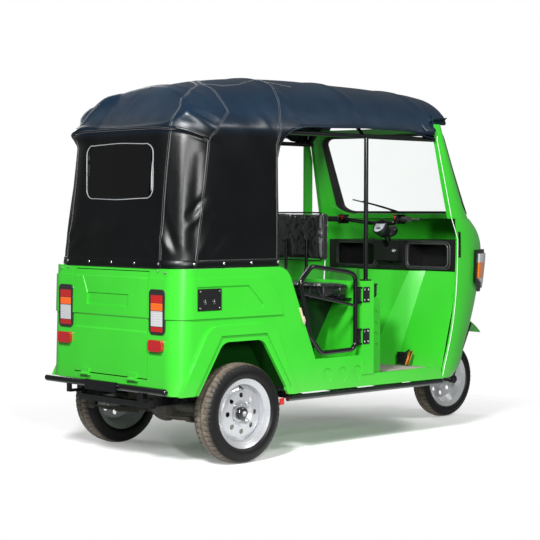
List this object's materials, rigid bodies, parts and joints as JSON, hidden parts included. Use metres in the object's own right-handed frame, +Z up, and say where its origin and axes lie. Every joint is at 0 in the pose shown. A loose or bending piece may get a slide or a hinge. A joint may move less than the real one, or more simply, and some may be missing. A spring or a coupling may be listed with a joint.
{
  "type": "auto rickshaw",
  "caption": "Three-wheeled electric auto rickshaw with a pressed green body, a fabric hood, tube side doors, bench seats and handlebar steering.",
  "frame": {"origin": "bottom centre of the bounding box, on the ground under the middle of the vehicle", "axes": "+X forward, +Y to the vehicle's left, +Z up"},
  "size_m": [2.8712, 1.09, 1.9395],
  "materials": {
    "body_paint": "gloss",
    "frame_paint": "powder coat",
    "hood_vinyl": "glossy coated",
    "clear_film": "soft clear film",
    "screen_glass": "clear",
    "screen_rubber": "matt",
    "seat_vinyl": "coated fabric",
    "tyre": "matt",
    "wheel_steel": "silver",
    "lamp": "moulded lens",
    "plastic": "textured",
    "grip": "matt",
    "axle_metal": "painted",
    "spring_steel": "oiled",
    "battery_case": "matt",
    "mat": "ribbed"
  },
  "bodies": {
    "body": {"battery": "battery_case", "bench_backrest": "seat_vinyl", "bench_cushion": "seat_vinyl", "bulkhead": "body_paint", "charge_plate": "plastic", "chassis": "frame_paint", "dashboard": "plastic", "door_hinges": "frame_paint", "driver_backrest": "seat_vinyl", "driver_cushion": "seat_vinyl", "floor_mat": "mat", "floor_pan": "body_paint", "front_cowl": "body_paint", "headlamps": "plastic", "hood": "hood_vinyl", "jump_cushion": "seat_vinyl", "lamp_lenses": "lamp", "leaf_springs": "spring_steel", "pedal": "plastic", "rear_axle": "axle_metal", "rear_bumper": "frame_paint", "rear_tub": "body_paint", "roof_frame": "frame_paint", "screen_frame": "body_paint", "screen_rubber": "screen_rubber", "seat_box": "body_paint", "seat_brackets": "frame_paint", "side_panel": "body_paint", "window_film": "clear_film", "windscreen": "screen_glass", "wiper": "plastic"},
    "tailgate": {"tailgate": "body_paint"},
    "door_left": {"door_left": "frame_paint"},
    "door_right": {"door_right": "frame_paint"},
    "steering": {"fork": "frame_paint", "mudguard": "body_paint", "handlebar": "frame_paint", "grips": "grip", "instrument": "plastic"},
    "front_wheel": {"tyre_front": "tyre", "wheel_front": "wheel_steel"},
    "rear_wheel_left": {"tyre_rear_left": "tyre", "wheel_rear_left": "wheel_steel"},
    "rear_wheel_right": {"tyre_rear_right": "tyre", "wheel_rear_right": "wheel_steel"}
  },
  "joints": [
    {"name": "steering_turn", "type": "hinge", "parent": "body", "child": "steering", "pos_m": [0.6464, 0, 1.12], "axis": [-0.4384, 0, 0.8988], "range_deg": [-35, 35]},
    {"name": "front_wheel_spin", "type": "hinge", "parent": "steering", "child": "front_wheel", "pos_m": [1.1634, 0, 0.229], "axis": [0, 1, 0], "continuous": true},
    {"name": "rear_wheel_left_spin", "type": "hinge", "parent": "body", "child": "rear_wheel_left", "pos_m": [-0.9536, 0.479, 0.247], "axis": [0, 1, 0], "continuous": true},
    {"name": "rear_wheel_right_spin", "type": "hinge", "parent": "body", "child": "rear_wheel_right", "pos_m": [-0.9536, -0.479, 0.247], "axis": [0, 1, 0], "continuous": true},
    {"name": "tailgate_hinge", "type": "hinge", "parent": "body", "child": "tailgate", "pos_m": [-1.3856, 0, 0.42], "axis": [0, 1, 0], "range_deg": [-90, 0]},
    {"name": "door_left_hinge", "type": "hinge", "parent": "body", "child": "door_left", "pos_m": [-0.1226, 0.512, 0.69], "axis": [0, 0, 1], "range_deg": [-95, 0]},
    {"name": "door_right_hinge", "type": "hinge", "parent": "body", "child": "door_right", "pos_m": [-0.1226, -0.512, 0.69], "axis": [0, 0, 1], "range_deg": [0, 95]}
  ]
}
